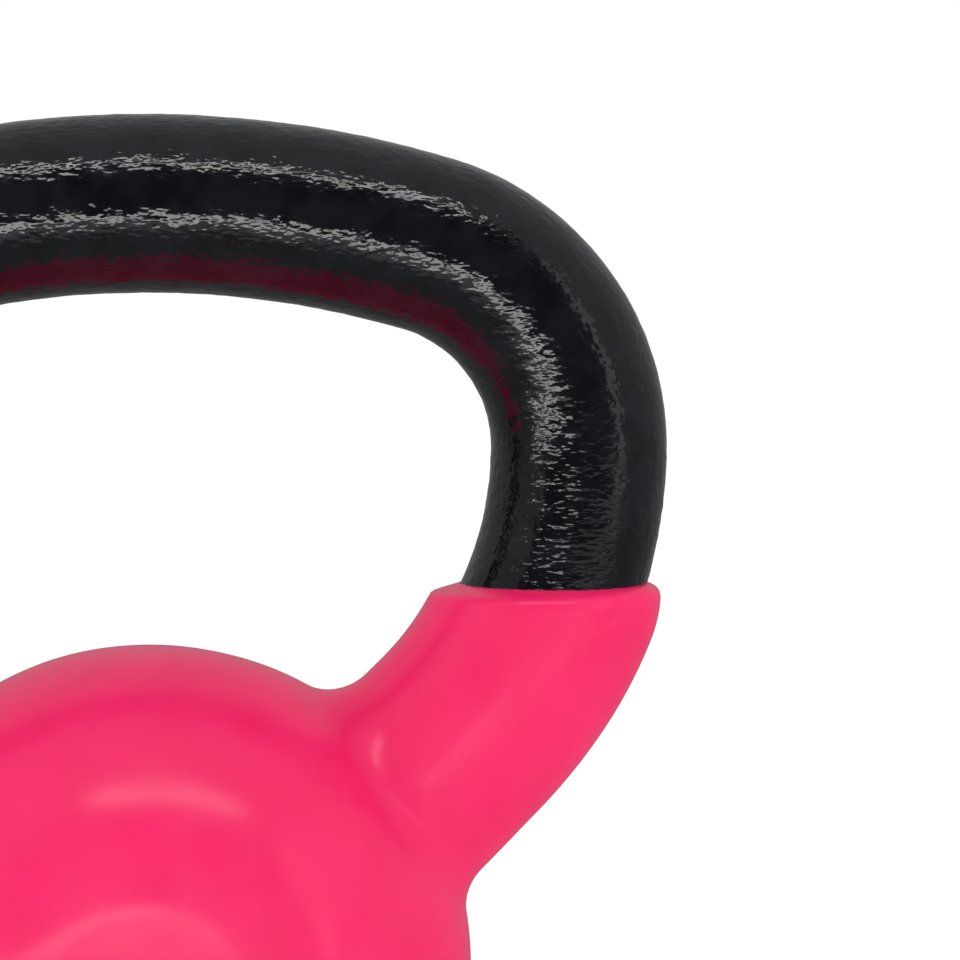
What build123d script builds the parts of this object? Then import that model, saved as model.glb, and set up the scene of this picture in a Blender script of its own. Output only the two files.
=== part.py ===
from build123d import *
import os
from math import acos, cos, degrees, radians

# Kettlebell of about 4 kg: a one-piece iron casting, baked enamel on the hand bar, and a thick
# vinyl jacket dipped over the ball and the lower part of both horns.
# Frame: origin at the middle of the resting face, +X along the hand bar, +Y from the front face
# to the back face, +Z up. Millimetres and degrees.

# Ball of the casting: round from the front and slimmer from the side, as if a smaller sphere had
# been swept over a disc. All sizes are on bare iron.
BALL_RADIUS = 47.3                # seen from the front
BALL_EDGE_RADIUS = 38.5           # of its outline seen from the side
FACE_SPREAD = 29.5                # angle of the side outline where a flat face's rounding starts
FACE_RIM_RADIUS = 26.5            # soft rounding between a flat face and the ball
BASE_SPREAD = 42.8                # from straight down to the edge of the base, at the centre
BASE_RIM_RADIUS = 3.0             # rounding between the base and the ball

# Bar of the casting, as one loop that grows out of the ball
BAR_DIAMETER = 28.0               # over the enamel, the size a hand closes on
WINDOW_HEIGHT = 55.4              # clear height between the coated ball and the middle of the bar
CROWN_RADIUS = 155.0              # gentle arch across the top, at the bar's centreline
CROWN_ANGLE = 16.6                # from the middle of the bar to the shoulder
SHOULDER_RADIUS = 33.4            # tight bend at the top corner
SHOULDER_ANGLE = 73.9
FLANK_RADIUS = 65.0               # long bend that turns the horn back in towards the ball
HORN_AIM_DROP = 12.8              # how far below the ball's centre the horns point
HORN_FILLET = 12.5                # blend between the bare horn and the bare ball

# Coatings
ENAMEL_THICKNESS = 0.2
ENAMEL_LAP = 6.0                  # how far the enamel runs down under the vinyl
VINYL_THICKNESS = 3.5
DIP_LINE_RISE = 9.5               # level edge of the vinyl, above the top of the coated ball
LIP_RADIUS = 2.3                  # rounded bead along that edge

CUT_MARGIN = 10.0                 # how far a cutting block reaches past what it cuts


def flat_distance(radius, spread, rim_radius):
    """Distance from an arc's centre to a flat whose rounded edge meets the arc at spread."""
    return rim_radius + (radius - rim_radius) * cos(radians(spread))


face_distance = flat_distance(BALL_EDGE_RADIUS, FACE_SPREAD, FACE_RIM_RADIUS)
base_distance = flat_distance(BALL_RADIUS, BASE_SPREAD, BASE_RIM_RADIUS)
ball_centre_height = base_distance + VINYL_THICKNESS
dome_height = ball_centre_height + BALL_RADIUS + VINYL_THICKNESS
dip_line_height = dome_height + DIP_LINE_RISE
bar_centre_height = dome_height + WINDOW_HEIGHT + BAR_DIAMETER / 2
block_side = 2 * (bar_centre_height + BAR_DIAMETER)


def block_below(height):
    """Large block whose top face lies at the given height."""
    return Pos(0, 0, height) * Box(
        block_side, block_side, block_side, align=(Align.CENTER, Align.CENTER, Align.MAX)
    )


def ball(growth):
    """Slim ball with two flat round faces and a flat base, all moved outwards by growth."""
    ring_radius = BALL_RADIUS - BALL_EDGE_RADIUS
    edge_radius = BALL_EDGE_RADIUS + growth
    span = 2 * (BALL_RADIUS + growth + CUT_MARGIN)
    section = Pos(ring_radius, 0) * Circle(edge_radius)
    section += Rectangle(ring_radius, 2 * edge_radius, align=(Align.MIN, Align.CENTER))
    section &= Rectangle(span, 2 * (face_distance + growth), align=(Align.MIN, Align.CENTER))
    body = Pos(0, 0, ball_centre_height) * revolve(section, axis=Axis.Y)
    body -= block_below(ball_centre_height - base_distance - growth)
    body = fillet(body.edges().group_by(Axis.Z)[0], BASE_RIM_RADIUS + growth)
    by_depth = body.edges().group_by(Axis.Y)
    return fillet(by_depth[0] + by_depth[-1], FACE_RIM_RADIUS + growth)


def half_centreline():
    """Centreline of one half of the bar, from the middle of the crown into the ball."""
    crown = JernArc((0, bar_centre_height), (1, 0), CROWN_RADIUS, -CROWN_ANGLE)
    shoulder = JernArc(crown @ 1, crown % 1, SHOULDER_RADIUS, -SHOULDER_ANGLE)
    heading = shoulder % 1
    to_centre = Vector(heading.Y, -heading.X) * FLANK_RADIUS
    flank_centre = shoulder @ 1 + to_centre
    aim = Vector(0, ball_centre_height - HORN_AIM_DROP)
    to_aim = aim - flank_centre
    tangent_lead = degrees(acos(FLANK_RADIUS / to_aim.length))
    flank_angle = to_aim.get_angle(-to_centre) - tangent_lead
    flank = JernArc(shoulder @ 1, heading, FLANK_RADIUS, -flank_angle)
    root = Line(flank @ 1, aim)
    return Plane.XZ * Wire([crown.edge(), shoulder.edge(), flank.edge(), root.edge()])


def bar(radius):
    """Round bar along the whole centreline, with both ends inside the ball."""
    section = Plane(origin=(0, 0, bar_centre_height), z_dir=(1, 0, 0)) * Circle(radius)
    half = sweep(section, path=half_centreline())
    return half + mirror(half, about=Plane.YZ)


def bell(growth, bar_radius):
    """Ball and bar in one piece, with a fillet round the root of each horn.

    An even skin of thickness growth has hollow blends that are sharper by that thickness.
    """
    plain_ball = ball(growth)
    plain_bar = bar(bar_radius)
    body = plain_ball + plain_bar
    root_edges = new_edges(plain_ball, plain_bar, combined=body)
    return fillet(root_edges, HORN_FILLET - growth)


def handle_enamel():
    """Film of enamel round the bar, down to a little below the edge of the vinyl."""
    film = bar(BAR_DIAMETER / 2) - bar(BAR_DIAMETER / 2 - ENAMEL_THICKNESS)
    return film - block_below(dip_line_height - ENAMEL_LAP)


def vinyl_jacket(casting, enamel):
    """Even skin of vinyl over the ball and horns, with a rounded bead along its level edge."""
    body = bell(VINYL_THICKNESS, BAR_DIAMETER / 2 + VINYL_THICKNESS)
    body &= block_below(dip_line_height)
    top_faces = body.faces().group_by(Axis.Z)[-1]
    body = fillet(top_faces.edges(), LIP_RADIUS)
    return body - casting - enamel


def main():
    os.makedirs("parts", exist_ok=True)
    casting = bell(0, BAR_DIAMETER / 2 - ENAMEL_THICKNESS)
    enamel = handle_enamel()
    pieces = {
        "iron_casting": casting,
        "handle_enamel": enamel,
        "vinyl_jacket": vinyl_jacket(casting, enamel),
    }
    for name, piece in pieces.items():
        piece.label = name
        export_step(piece, f"parts/{name}.step")


if __name__ == "__main__":
    main()
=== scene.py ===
# Vinyl-dipped kettlebell: an enamelled bar with a cast surface and a smooth vinyl jacket, built
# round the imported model. Shapes are worked out in millimetres and handed to Blender in metres.
import math

import bpy
import numpy as np
from mathutils import Matrix, Vector


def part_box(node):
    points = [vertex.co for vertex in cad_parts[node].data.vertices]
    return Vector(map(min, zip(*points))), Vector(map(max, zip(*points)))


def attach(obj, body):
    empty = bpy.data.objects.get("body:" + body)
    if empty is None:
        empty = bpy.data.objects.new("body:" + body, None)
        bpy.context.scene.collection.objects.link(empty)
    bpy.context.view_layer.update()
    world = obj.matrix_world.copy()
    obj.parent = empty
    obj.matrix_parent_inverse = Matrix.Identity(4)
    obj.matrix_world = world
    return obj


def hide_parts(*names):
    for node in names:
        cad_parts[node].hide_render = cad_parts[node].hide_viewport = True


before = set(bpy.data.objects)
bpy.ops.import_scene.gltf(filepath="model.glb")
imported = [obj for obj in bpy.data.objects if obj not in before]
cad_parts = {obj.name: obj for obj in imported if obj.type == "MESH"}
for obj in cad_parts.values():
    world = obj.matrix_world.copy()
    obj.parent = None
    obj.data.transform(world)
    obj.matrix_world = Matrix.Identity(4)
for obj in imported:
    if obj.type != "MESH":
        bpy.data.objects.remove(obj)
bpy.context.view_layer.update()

MM = 0.001
SEED = 7

# Sizes of the object in millimetres. Heights and the widest points come from the frame.
bar_low, bar_high = (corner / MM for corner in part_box("handle_enamel"))
jacket_low, jacket_high = (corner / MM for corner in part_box("vinyl_jacket"))
BAR_RADIUS = (bar_high.y - bar_low.y) / 2
TOP_HEIGHT = bar_high.z
DIP_HEIGHT = jacket_high.z
ENAMEL_BOTTOM = bar_low.z
WALL = 3.5                    # vinyl
FILM = 0.2                    # enamel
BALL_RING = 8.8               # the ball is a smaller sphere swept over a disc of this radius
BALL_EDGE_RADIUS = 42.0       # of that sphere, over the vinyl
BALL_HEIGHT = 39.0            # centre of the ball
FACE_RIM = 30.0               # rounding of the flat faces, over the vinyl
BASE_RIM = 6.5
FACE_DISTANCE = jacket_high.y
CROWN_RADIUS, CROWN_ANGLE = 155.0, 16.6
SHOULDER_RADIUS, SHOULDER_ANGLE = 33.4, 73.9
FLANK_RADIUS = 65.0
HORN_AIM_DROP = 12.8
HORN_BLEND = 7.5              # radius of the hollow blend round a horn's root
LIP_RADIUS = 1.9              # rounding of the lip's outer edge
LIP_FALL = 0.42               # how steeply the lip falls away from the bar
THINNING = 1.5                # how much thinner the vinyl has drained on a horn's outer side
THINNING_DEPTH = 9.0          # and how far below the lip that starts
HORN_TOP_ACROSS = 65.0        # where the bar's centreline passes the lip, measured across
DIMPLE_X, DIMPLE_Z = 71.2, 94.8   # a small dent in the front of the right horn
DIMPLE_LENGTH = 2.0           # half of it, as is its height
DIMPLE_HEIGHT = 1.1
DIMPLE_DEPTH = 0.70


# ---------------------------------------------------------------- centreline of the bar

def polar(angle):
    """Unit vector in the plane of the loop, x across and z up, for an angle in degrees."""
    return np.array([math.cos(math.radians(angle)), math.sin(math.radians(angle))])


def loop_arcs():
    """The right half of the loop as arcs (centre, radius, first angle, last angle), in degrees."""
    top = np.array([0.0, TOP_HEIGHT - BAR_RADIUS])
    crown_end = 90 - CROWN_ANGLE
    shoulder_end = crown_end - SHOULDER_ANGLE
    crown_centre = top - CROWN_RADIUS * polar(90)
    shoulder_centre = crown_centre + (CROWN_RADIUS - SHOULDER_RADIUS) * polar(crown_end)
    flank_centre = shoulder_centre + (SHOULDER_RADIUS - FLANK_RADIUS) * polar(shoulder_end)
    aim = np.array([0.0, BALL_HEIGHT - HORN_AIM_DROP])
    to_aim = aim - flank_centre
    lead = math.degrees(math.acos(FLANK_RADIUS / np.linalg.norm(to_aim)))
    flank_end = math.degrees(math.atan2(to_aim[1], to_aim[0])) + lead
    return [
        (crown_centre, CROWN_RADIUS, 90.0, crown_end),
        (shoulder_centre, SHOULDER_RADIUS, crown_end, shoulder_end),
        (flank_centre, FLANK_RADIUS, shoulder_end, flank_end),
    ]


ARCS = loop_arcs()


def loop_distance(x, y, z):
    """Distance to the loop's centreline."""
    across = np.abs(x)
    nearest = np.full(across.shape, np.inf)
    for centre, radius, first, last in ARCS:
        dx, dz = across - centre[0], z - centre[1]
        angle = np.degrees(np.arctan2(dz, dx))
        offset = np.hypot(dx, dz) - radius
        closer = (angle <= first) & (angle >= last) & (np.abs(offset) < nearest)
        nearest = np.where(closer, np.abs(offset), nearest)
    centre, radius, _, last = ARCS[-1]
    start, normal, heading = centre + radius * polar(last), polar(last), polar(last - 90)
    root_length = start[0] / -heading[0]
    dx, dz = across - start[0], z - start[1]
    along = dx * heading[0] + dz * heading[1]
    offset = dx * normal[0] + dz * normal[1]
    reach = np.hypot(offset, along - np.clip(along, 0, root_length))
    return np.hypot(np.minimum(nearest, reach), y)


# ---------------------------------------------------------------- distance fields

def side_faces_field(x, y, z):
    """The swept ball between its front and back faces, whose edges are softly rounded."""
    along = np.abs(y)
    across = np.maximum(np.hypot(x, z - BALL_HEIGHT) - BALL_RING, 0)
    core_radius, core_flat = BALL_EDGE_RADIUS - FACE_RIM, FACE_DISTANCE - FACE_RIM
    corner = math.sqrt(core_radius ** 2 - core_flat ** 2)
    plain = np.maximum(np.hypot(along, across) - core_radius, along - core_flat)
    at_corner = (across > corner) & (along * corner > across * core_flat)
    rounded = np.hypot(along - core_flat, across - corner)
    return np.where(at_corner, rounded, plain) - FACE_RIM


def gradient(field, points, reach=0.02):
    slopes = []
    for axis in range(3):
        step = np.zeros(3)
        step[axis] = reach
        slopes.append((field(*(points + step).T) - field(*(points - step).T)) / (2 * reach))
    return np.stack(slopes, axis=1)


def rounded_cut(first, second, x, y, z, radius):
    """Where both fields are negative, with the edge between them rounded by a true arc."""
    a, b = first(x, y, z), second(x, y, z)
    together = np.maximum(a, b)
    near = np.flatnonzero((a > -radius).ravel() & (b > -radius).ravel())
    points = np.stack([x.ravel()[near], y.ravel()[near], z.ravel()[near]], axis=1)
    lean = (gradient(first, points) * gradient(second, points)).sum(1)
    lean = np.clip(lean, -0.99, 0.99)
    over_a, over_b = a.ravel()[near] + radius, b.ravel()[near] + radius
    square = over_a ** 2 + over_b ** 2 - 2 * over_a * over_b * lean
    arc = np.sqrt(np.maximum(square, 0) / (1 - lean ** 2)) - radius
    in_corner = (over_a > over_b * lean) & (over_b > over_a * lean)
    result = together.ravel().copy()
    result[near] = np.where(in_corner, arc, result[near])
    return result.reshape(together.shape)


def ball_field(x, y, z):
    return rounded_cut(side_faces_field, lambda x, y, z: -z, x, y, z, BASE_RIM)


def horn_field(x, y, z):
    """The coated bar. The vinyl has drained thinner towards the lip on the outer side."""
    near_lip = np.clip(1 + (z - DIP_HEIGHT) / THINNING_DEPTH, 0, 1)
    outer_side = np.clip((np.abs(x) - HORN_TOP_ACROSS) / BAR_RADIUS, 0, 1)
    thinner = THINNING * near_lip ** 2 * outer_side
    return loop_distance(x, y, z) - BAR_RADIUS - WALL + thinner


def body_field(x, y, z):
    """Coated ball and horns, without the level edge."""
    return -rounded_cut(
        lambda *p: -ball_field(*p), lambda *p: -horn_field(*p), x, y, z, HORN_BLEND)


def lip_field(x, y, z):
    """The drained edge: level where it meets the bar, falling away to the outside."""
    off_bar = np.clip(loop_distance(x, y, z) - BAR_RADIUS, 0, 2 * WALL)
    return (z - DIP_HEIGHT + LIP_FALL * off_bar) / math.hypot(1, LIP_FALL)


def jacket_field(x, y, z):
    """The coated body up to its drained edge, whose outer corner is rounded."""
    return rounded_cut(body_field, lip_field, x, y, z, LIP_RADIUS)


def core_field(x, y, z):
    """What fills the jacket, standing a little above its level edge."""
    return np.maximum(body_field(x, y, z) + WALL, z - DIP_HEIGHT - WALL)


def ripple(points, wavelength, seed, waves=14):
    """Smooth random unevenness of unit size, from plane waves in all directions."""
    rng = np.random.default_rng(seed)
    directions = rng.normal(size=(waves, 3))
    directions /= np.linalg.norm(directions, axis=1)[:, None]
    turns = 2 * math.pi / (wavelength * rng.uniform(0.7, 1.4, waves))
    phases = rng.uniform(0, 2 * math.pi, waves)
    total = np.zeros(len(points))
    for direction, turn, phase in zip(directions, turns, phases):
        total += np.sin(points @ direction * turn + phase)
    return total * math.sqrt(2 / waves)


# ---------------------------------------------------------------- surfaces from fields

def surface_net(field, low, high, step):
    """Quads on the zero level of a field: one vertex in each grid cell that the level crosses."""
    axes = [np.arange(a, b + step, step) for a, b in zip(low, high)]
    inside = np.empty([len(axis) for axis in axes], bool)
    y, z = np.meshgrid(axes[1], axes[2], indexing="ij")
    for i, x in enumerate(axes[0]):
        inside[i] = field(np.full(y.shape, x), y, z) < 0
    cells = [n - 1 for n in inside.shape]
    count = np.zeros(cells, np.int8)
    for i in (0, 1):
        for j in (0, 1):
            for k in (0, 1):
                count += inside[i:i + cells[0], j:j + cells[1], k:k + cells[2]]
    crossed = (count > 0) & (count < 8)
    number = np.full(cells, -1)
    number[crossed] = np.arange(crossed.sum())
    points = np.array([axis[0] for axis in axes]) + (np.argwhere(crossed) + 0.5) * step
    quads = []
    for axis in range(3):
        start = np.moveaxis(inside, axis, 0)
        leaving, entering = start[:-1] & ~start[1:], ~start[:-1] & start[1:]
        ahead, left = (axis + 1) % 3, (axis + 2) % 3
        for change, order in ((leaving, (0, 1, 2, 3)), (entering, (3, 2, 1, 0))):
            edges = np.argwhere(np.moveaxis(change, 0, axis))
            around = []
            for back_a, back_b in ((1, 1), (0, 1), (0, 0), (1, 0)):
                cell = edges.copy()
                cell[:, ahead] -= back_a
                cell[:, left] -= back_b
                around.append(number[tuple(cell.T)])
            quads.append(np.stack([around[i] for i in order], axis=1))
    return points, np.concatenate(quads)


def settle(field, points, rounds=3):
    """Moves points onto the zero level of a field."""
    for _ in range(rounds):
        slope = gradient(field, points)
        length = np.maximum((slope ** 2).sum(1), 0.1)
        points = points - slope * (field(*points.T) / length)[:, None]
    return points


def relax(points, quads, share=0.5):
    """Moves each point part of the way to the middle of its neighbours."""
    ends = np.concatenate([quads[:, [i, (i + 1) % 4]] for i in range(4)])
    ends = np.concatenate([ends, ends[:, ::-1]])
    degree = np.bincount(ends[:, 0], minlength=len(points))
    middle = np.stack([
        np.bincount(ends[:, 0], points[ends[:, 1], axis], len(points)) / degree for axis in range(3)
    ], axis=1)
    return points + share * (middle - points)


def fitted_surface(field, low, high, step, evening=4):
    """Even quads that lie exactly on the zero level of a field."""
    points, quads = surface_net(field, low, high, step)
    points = settle(field, points)
    for _ in range(evening):
        points = settle(field, relax(points, quads), 2)
    return points, quads


def make_object(name, points, faces, smooth=True):
    mesh = bpy.data.meshes.new(name)
    mesh.from_pydata((points * MM).tolist(), [], faces.tolist())
    mesh.polygons.foreach_set("use_smooth", [smooth] * len(mesh.polygons))
    mesh.update()
    piece = bpy.data.objects.new(name, mesh)
    bpy.context.scene.collection.objects.link(piece)
    return piece


# ---------------------------------------------------------------- the vinyl jacket

JACKET_STEP = 0.85            # size of the outer quads
CORE_STEP = 2.2
NET_MARGIN = 3.0
JACKET_RIPPLE = 0.07          # height of the slow waves that dipping leaves
JACKET_RIPPLE_LENGTH = 24.0
RIPPLE_SINK = 1.5             # sinks the waves, so that hardly any would stand proud
LEVEL_BASE, RIPPLED_ABOVE = 2.0, 10.0   # no waves up to the first height, full waves this much higher


def dipped_field(x, y, z):
    """The jacket's outside with a dimple and the slow waves of a dipped skin, level at the base."""
    points = np.stack([x, y, z], axis=1)
    fade = np.clip((z - LEVEL_BASE) / RIPPLED_ABOVE, 0, 1)
    wave = JACKET_RIPPLE * fade * (ripple(points, JACKET_RIPPLE_LENGTH, SEED) - RIPPLE_SINK)
    along, up = (x - DIMPLE_X) / DIMPLE_LENGTH, (z - DIMPLE_Z) / DIMPLE_HEIGHT
    dent = DIMPLE_DEPTH * np.exp(-along ** 2 - up ** 2) * (y < 0)
    return jacket_field(x, y, z) - np.minimum(wave, 0) + dent


def jacket():
    low = np.array(jacket_low) - NET_MARGIN
    high = np.array(jacket_high) + NET_MARGIN
    points, quads = fitted_surface(jacket_field, low, high, JACKET_STEP)
    points = settle(dipped_field, points, 2)
    piece = make_object("dipped_vinyl_jacket", points, quads)
    core = make_object("jacket_core", *fitted_surface(core_field, low, high + WALL, CORE_STEP))
    cut = piece.modifiers.new("hollow", "BOOLEAN")
    cut.operation, cut.solver, cut.object = "DIFFERENCE", "MANIFOLD", core
    depsgraph = bpy.context.evaluated_depsgraph_get()
    hollow = bpy.data.meshes.new_from_object(piece.evaluated_get(depsgraph))
    piece.modifiers.clear()
    piece.data = hollow
    bpy.data.objects.remove(core)
    hollow.polygons.foreach_set("use_smooth", [True] * len(hollow.polygons))
    hollow.set_sharp_from_angle(angle=math.radians(50))
    return piece


# ---------------------------------------------------------------- the enamelled bar

RINGS, AROUND = 500, 176      # along the loop and round the bar
INNER_RINGS = 60
RELIEF = 0.11                 # deepest the cast surface dips below the bar's size
SLIMMING = 0.06               # how much thinner the bar is at its sides than across the top
SLIM_START, SLIM_RUN = 35.0, 35.0   # thinner from the first distance out, fully so this much further
RELIEF_WAVES = (              # strength, wavelength and number of waves
    (0.30, 16.0, 14),         # slow unevenness
    (0.30, 5.0, 24),          # dents
    (0.28, 2.2, 40),          # orange peel
)


def loop_place(run):
    """Centreline point and outward direction at a distance along the loop from its middle."""
    starts = np.cumsum([0] + [r * math.radians(a - b) for _, r, a, b in ARCS])[:3]
    index = np.searchsorted(starts, run, side="right") - 1
    centres = np.array([arc[0] for arc in ARCS])[index]
    radii = np.array([arc[1] for arc in ARCS])[index]
    firsts = np.radians(np.array([arc[2] for arc in ARCS]))[index]
    angle = firsts - (run - starts[index]) / radii
    outward = np.stack([np.cos(angle), np.sin(angle)], axis=-1)
    return centres + radii[..., None] * outward, outward


def run_to_height(turn, height):
    """How far along the loop the bar's surface comes down to a height, for each turn round it."""
    low = np.full(turn.shape, CROWN_RADIUS * math.radians(CROWN_ANGLE))
    high = low + 150
    for _ in range(40):
        middle = (low + high) / 2
        centre, outward = loop_place(middle)
        above = centre[:, 1] + BAR_RADIUS * np.cos(turn) * outward[:, 1] > height
        low, high = np.where(above, middle, low), np.where(above, high, middle)
    return low


def bar_surface(rings, radius):
    """Rings of points round the loop, from its left end to its right end, and their normals."""
    turn = np.linspace(0, 2 * math.pi, AROUND, endpoint=False)
    end = run_to_height(turn, ENAMEL_BOTTOM)
    share = np.linspace(-1, 1, rings)[:, None]
    centre, outward = loop_place(np.abs(share) * end)
    side = np.where(share < 0, -1.0, 1.0)
    normal = np.stack([
        side * np.cos(turn) * outward[..., 0],
        -np.sin(turn) + np.zeros_like(share),
        np.cos(turn) * outward[..., 1],
    ], axis=-1)
    middle = np.stack([side * centre[..., 0], np.zeros(centre.shape[:2]), centre[..., 1]], axis=-1)
    return middle + radius * normal, normal


def cast_relief(points):
    """Dents, waves and orange peel of an enamelled casting, as depth below the bar's size."""
    total = np.zeros(len(points))
    for number, (strength, wavelength, waves) in enumerate(RELIEF_WAVES, 1):
        total += strength * ripple(points, wavelength, SEED + number, waves)
    return -RELIEF * (0.5 + 0.5 * np.clip(total, -1, 1))


def enamelled_bar():
    points, normals = bar_surface(RINGS, BAR_RADIUS)
    flat = points.reshape(-1, 3)
    slimmer = SLIMMING * np.clip((np.abs(flat[:, 0]) - SLIM_START) / SLIM_RUN, 0, 1)
    depth = cast_relief(flat) * (1 - slimmer / BAR_RADIUS) - slimmer
    outer = flat + normals.reshape(-1, 3) * depth[:, None]
    inner = bar_surface(INNER_RINGS, BAR_RADIUS - FILM - SLIMMING)[0].reshape(-1, 3)

    def strip(first, second):
        """Quads between two rings that start at the given point numbers."""
        here = np.arange(AROUND)
        after = (here + 1) % AROUND
        return np.stack([first + here, first + after, second + after, second + here], axis=1)

    base = len(outer)
    faces = [strip(i * AROUND, (i + 1) * AROUND) for i in range(RINGS - 1)]
    faces += [strip(base + (i + 1) * AROUND, base + i * AROUND) for i in range(INNER_RINGS - 1)]
    faces.append(strip(base, 0))
    faces.append(strip((RINGS - 1) * AROUND, base + (INNER_RINGS - 1) * AROUND))
    return make_object("enamelled_bar", np.concatenate([outer, inner]), np.concatenate(faces))


# ---------------------------------------------------------------- materials

class Nodes:
    """A node tree under construction, with short ways to add what it holds."""

    def __init__(self, tree, place):
        self.tree = tree
        self.place = tree.nodes.new("ShaderNodeTexCoord").outputs[place]

    def add(self, kind, inputs, **settings):
        node = self.tree.nodes.new(kind)
        for key, value in settings.items():
            setattr(node, key, value)
        for key, value in inputs.items():
            if isinstance(value, bpy.types.NodeSocket):
                self.tree.links.new(value, node.inputs[key])
            else:
                node.inputs[key].default_value = value
        return node

    def math(self, operation, *values):
        return self.add("ShaderNodeMath", dict(enumerate(values)), operation=operation).outputs[0]

    def noise(self, wavelength, detail=2.0, rough=0.5, place=None, distortion=0.0):
        """Noise from 0 to 1 whose features are about wavelength millimetres across."""
        return self.add("ShaderNodeTexNoise", {
            "Vector": place or self.place, "Scale": 1 / (wavelength * MM), "Detail": detail,
            "Roughness": rough, "Distortion": distortion}).outputs["Fac"]

    def stretched(self, x, y, z):
        """The object's own coordinates, scaled along each axis."""
        return self.add("ShaderNodeVectorMath", {0: self.place, 1: (x, y, z)},
                        operation="MULTIPLY").outputs[0]

    def ramp(self, value, low, high, to_low=0.0, to_high=1.0):
        return self.add("ShaderNodeMapRange", {
            "Value": value, "From Min": low, "From Max": high, "To Min": to_low, "To Max": to_high,
        }, interpolation_type="SMOOTHSTEP").outputs["Result"]

    def blend(self, share, first, second):
        return self.add("ShaderNodeMix", {0: share, 6: first, 7: second},
                        data_type="RGBA").outputs[2]


class Surface(Nodes):
    """A procedural material of one Principled shader. Values are the same all over."""

    def __init__(self, name, **values):
        self.material = bpy.data.materials.new(name)
        self.material.use_nodes = True
        super().__init__(self.material.node_tree, "Object")
        self.shader = self.tree.nodes["Principled BSDF"]
        for socket, value in values.items():
            self.shader.inputs[socket.replace("_", " ")].default_value = value

    def bump(self, height, distance, under=None):
        inputs = {"Height": height, "Strength": 1.0, "Distance": distance * MM}
        if under:
            inputs["Normal"] = under
        return self.add("ShaderNodeBump", inputs).outputs["Normal"]

    def feed(self, socket, value):
        self.tree.links.new(value, self.shader.inputs[socket])


def vinyl():
    """Glossy plastisol: faint mottling in the colour, a soft orange peel in the gloss."""
    s = Surface("pink_vinyl", IOR=1.5, Specular_IOR_Level=0.36, Subsurface_Weight=0.1,
                Subsurface_Scale=0.002)
    mottle = s.ramp(s.noise(14, 3), 0.35, 0.65)
    s.feed("Base Color", s.blend(mottle, (0.89, 0.016, 0.128, 1), (0.93, 0.020, 0.142, 1)))
    s.feed("Roughness", s.ramp(s.noise(9, 3), 0.3, 0.7, 0.21, 0.27))
    waves = s.bump(s.noise(11, 1), 0.06)
    s.feed("Normal", s.bump(s.noise(1.6, 1), 0.006, waves))
    return s.material


def enamel():
    """Black stove enamel over cast iron: fine pits everywhere and grinding marks low on the sides."""
    s = Surface("black_enamel", IOR=1.5)
    tone = s.ramp(s.noise(6, 3), 0.35, 0.65)
    s.feed("Base Color", s.blend(tone, (0.003, 0.0035, 0.005, 1), (0.006, 0.007, 0.010, 1)))
    s.feed("Roughness", s.ramp(s.noise(3, 2), 0.3, 0.7, 0.07, 0.13))
    height = s.add("ShaderNodeSeparateXYZ", {0: s.place}).outputs[2]
    low = s.ramp(height, 0.100, 0.138, 1.0, 0.0)
    marks = s.noise(0.8, 2, 0.5, place=s.stretched(0.2, 0.2, 1.0))
    peel = s.bump(s.noise(2.0, 1), 0.08)
    pits = s.bump(s.noise(0.8, 1, place=s.stretched(0.5, 1.0, 1.0)), 0.10, peel)
    s.feed("Normal", s.bump(s.math("MULTIPLY", marks, low), 0.14, pits))
    return s.material


def cast_iron():
    """Raw grey iron with a sandy skin and a little brown."""
    s = Surface("cast_iron", Metallic=0.7, IOR=1.5)
    tone = s.ramp(s.noise(5, 4), 0.3, 0.7)
    s.feed("Base Color", s.blend(tone, (0.10, 0.095, 0.09, 1), (0.22, 0.21, 0.20, 1)))
    s.feed("Roughness", s.ramp(s.noise(2, 3), 0.3, 0.7, 0.5, 0.75))
    s.feed("Normal", s.bump(s.noise(0.9, 3, 0.6), 0.15))
    return s.material


def paper():
    """The studio's white sweep."""
    s = Surface("white_sweep", Roughness=0.9, Emission_Strength=FLOOR_LIFT)
    s.shader.inputs["Emission Color"].default_value = (1, 1, 1, 1)
    grain = s.noise(2, 2)
    s.feed("Base Color", s.blend(grain, (0.88, 0.88, 0.88, 1), (0.90, 0.90, 0.90, 1)))
    return s.material


# ---------------------------------------------------------------- pieces on the frame

def finish_piece(piece, material):
    piece.data.materials.clear()
    piece.data.materials.append(material)
    return piece


bar_piece = finish_piece(enamelled_bar(), enamel())
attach(bar_piece, "root")
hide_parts("handle_enamel")

jacket_piece = finish_piece(jacket(), vinyl())
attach(jacket_piece, "root")
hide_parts("vinyl_jacket")

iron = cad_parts["iron_casting"]
iron.data.materials.clear()
iron.data.materials.append(cast_iron())


# ---------------------------------------------------------------- studio

FLOOR_SIZE = 30.0             # metres, as all sizes here
FRONT = 0.62                  # from the object to the dark room and the box at the right
ROOM_BLACK, ROOM_GREY = 0.03, 0.34
ROOM_TOP_GREY = 0.38
SOFT_LIGHT = 1.12             # brightness of the tent's sides, as they light matt surfaces
OVERHEAD_LIGHT = 0.85         # and of its top
TENT_GLOSS = 0.40             # brightness of its upper part, as gloss reflects it
TENT_GLOSS_LOW = 0.18         # and of its lower part
FLOOR_LIFT = 0.24             # light that the floor adds, so that it is as white as the tent


def stage_card(name, corners, material):
    mesh = bpy.data.meshes.new(name)
    mesh.from_pydata(corners, [], [(0, 1, 2, 3)])
    mesh.materials.append(material)
    piece = bpy.data.objects.new(name, mesh)
    bpy.context.scene.collection.objects.link(piece)
    return piece


def floor():
    half = FLOOR_SIZE / 2
    corners = [(-half, -half, 0), (half, -half, 0), (half, half, 0), (-half, half, 0)]
    sheet = stage_card("studio_floor", corners, paper())
    sheet.visible_glossy = False
    sheet.visible_diffuse = False


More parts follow.
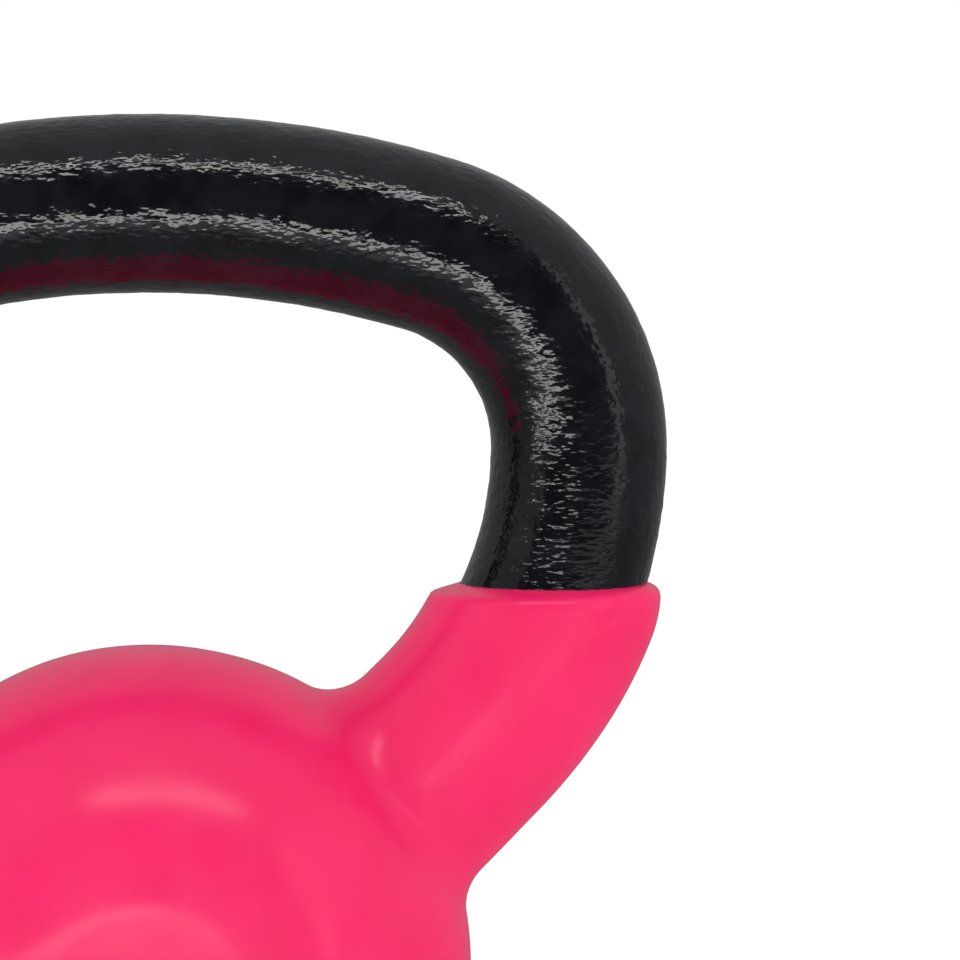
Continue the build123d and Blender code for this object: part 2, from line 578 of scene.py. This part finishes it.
def glow(name, brightness):
    """A light-emitting surface of even brightness."""
    material = bpy.data.materials.new(name)
    material.use_nodes = True
    tree = material.node_tree
    tree.nodes.clear()
    lamp = tree.nodes.new("ShaderNodeEmission")
    lamp.inputs["Strength"].default_value = brightness
    out = tree.nodes.new("ShaderNodeOutputMaterial")
    tree.links.new(lamp.outputs[0], out.inputs["Surface"])
    return material


def unseen_card(name, brightness, corners):
    """A glowing card that the camera does not see and that casts no shadow."""
    card = stage_card(name, corners, glow(name, brightness))
    card.visible_camera = False
    card.visible_shadow = False
    return card


def upright_card(name, brightness, across, height, distance=FRONT):
    """A card that stands in front of the object and faces it."""
    (left, right), (bottom, top), y = across, height, -distance
    corners = [(left, y, bottom), (right, y, bottom), (right, y, top), (left, y, top)]
    return unseen_card(name, brightness, corners)


def level_card(name, brightness, across, away, height):
    """A card that lies just above the floor in front of the object, seen only by gloss."""
    (left, right), (near, far) = across, away
    ends = [(left, -far), (right, -far), (right, -near), (left, -near)]
    card = unseen_card(name, brightness, [(x, y, height) for x, y in ends])
    card.visible_diffuse = False


def dark_room():
    """The unlit room behind the camera, black in the middle and as grey as the tent at its edges."""
    card = upright_card("dark_room", 0.0, across=(-0.85, 0.85), height=(-0.02, 1.0))
    card.visible_diffuse = False
    tree = card.data.materials[0].node_tree
    n = Nodes(tree, "Object")
    across, _, height = n.add("ShaderNodeSeparateXYZ", {0: n.place}).outputs
    sides = n.ramp(n.math("ABSOLUTE", across), 0.45, 0.85, ROOM_BLACK, ROOM_GREY)
    top = n.ramp(height, 0.65, 1.0, ROOM_BLACK, ROOM_TOP_GREY)
    tree.links.new(n.math("MAXIMUM", sides, top), tree.nodes["Emission"].inputs["Strength"])


def studio():
    """The dark room, a soft box above, another at the right, and light on the table in front."""
    dark_room()
    upright_card("top_box", 7.5, across=(-0.20, 0.30), height=(0.58, 0.68), distance=0.35)
    upright_card("right_box", 1.1, across=(0.70, 0.95), height=(0.0, 0.80))
    level_card("table_glare", 6.5, across=(-0.9, 0.045), away=(0.38, 0.61), height=0.001)
    level_card("table_near", 0.6, across=(-0.6, 0.6), away=(0.22, 0.61), height=0.0005)


def tent():
    """White all round for the camera and for matt surfaces, greyer in reflections."""
    world = bpy.data.worlds.new("light_tent")
    bpy.context.scene.world = world
    world.use_nodes = True
    # Sampled as a light, the world would mix its two strengths and show patches on the back.
    world.cycles.sampling_method = "NONE"
    n = Nodes(world.node_tree, "Generated")
    rays = n.add("ShaderNodeLightPath", {}).outputs
    height = n.add("ShaderNodeSeparateXYZ", {0: n.place}).outputs[2]
    mirrored = n.ramp(height, -0.4, 0.6, TENT_GLOSS_LOW, TENT_GLOSS)
    matt = n.ramp(height, -0.1, 1.0, SOFT_LIGHT, OVERHEAD_LIGHT)
    unseen = n.add("ShaderNodeMix", {0: rays["Is Glossy Ray"], 2: matt, 3: mirrored}).outputs[0]
    strength = n.add("ShaderNodeMix", {0: rays["Is Camera Ray"], 2: unseen, 3: 1.0}).outputs[0]
    sky = world.node_tree.nodes["Background"]
    world.node_tree.links.new(strength, sky.inputs["Strength"])
    sky.inputs["Color"].default_value = (1, 1, 1, 1)


CAMERA_PLACE = (0.01821, -0.60693, 0.15485)
CAMERA_YAW, CAMERA_DROP, CAMERA_ROLL = 0.0564, 0.0647, -0.0037   # radians
CAMERA_LENS, CAMERA_SENSOR = 144.67, 36.0                        # millimetres


def camera():
    """Level with the bar and a little to the right, looking slightly down."""
    yaw, drop, roll = CAMERA_YAW, CAMERA_DROP, CAMERA_ROLL
    ahead = Vector((math.sin(yaw) * math.cos(drop), math.cos(yaw) * math.cos(drop), -math.sin(drop)))
    side = Vector((math.cos(yaw), -math.sin(yaw), 0))
    up = side.cross(ahead)
    right = math.cos(roll) * side + math.sin(roll) * up
    top = math.cos(roll) * up - math.sin(roll) * side
    lens = bpy.data.cameras.new("camera")
    lens.lens = CAMERA_LENS
    lens.sensor_width = CAMERA_SENSOR
    lens.clip_start, lens.clip_end = 0.01, 100.0
    piece = bpy.data.objects.new("camera", lens)
    bpy.context.scene.collection.objects.link(piece)
    turned = Matrix((right, top, -ahead)).transposed().to_4x4()
    piece.matrix_world = Matrix.Translation(CAMERA_PLACE) @ turned
    bpy.context.scene.camera = piece


floor()
studio()
tent()
camera()
bpy.context.scene.view_settings.view_transform = "Standard"
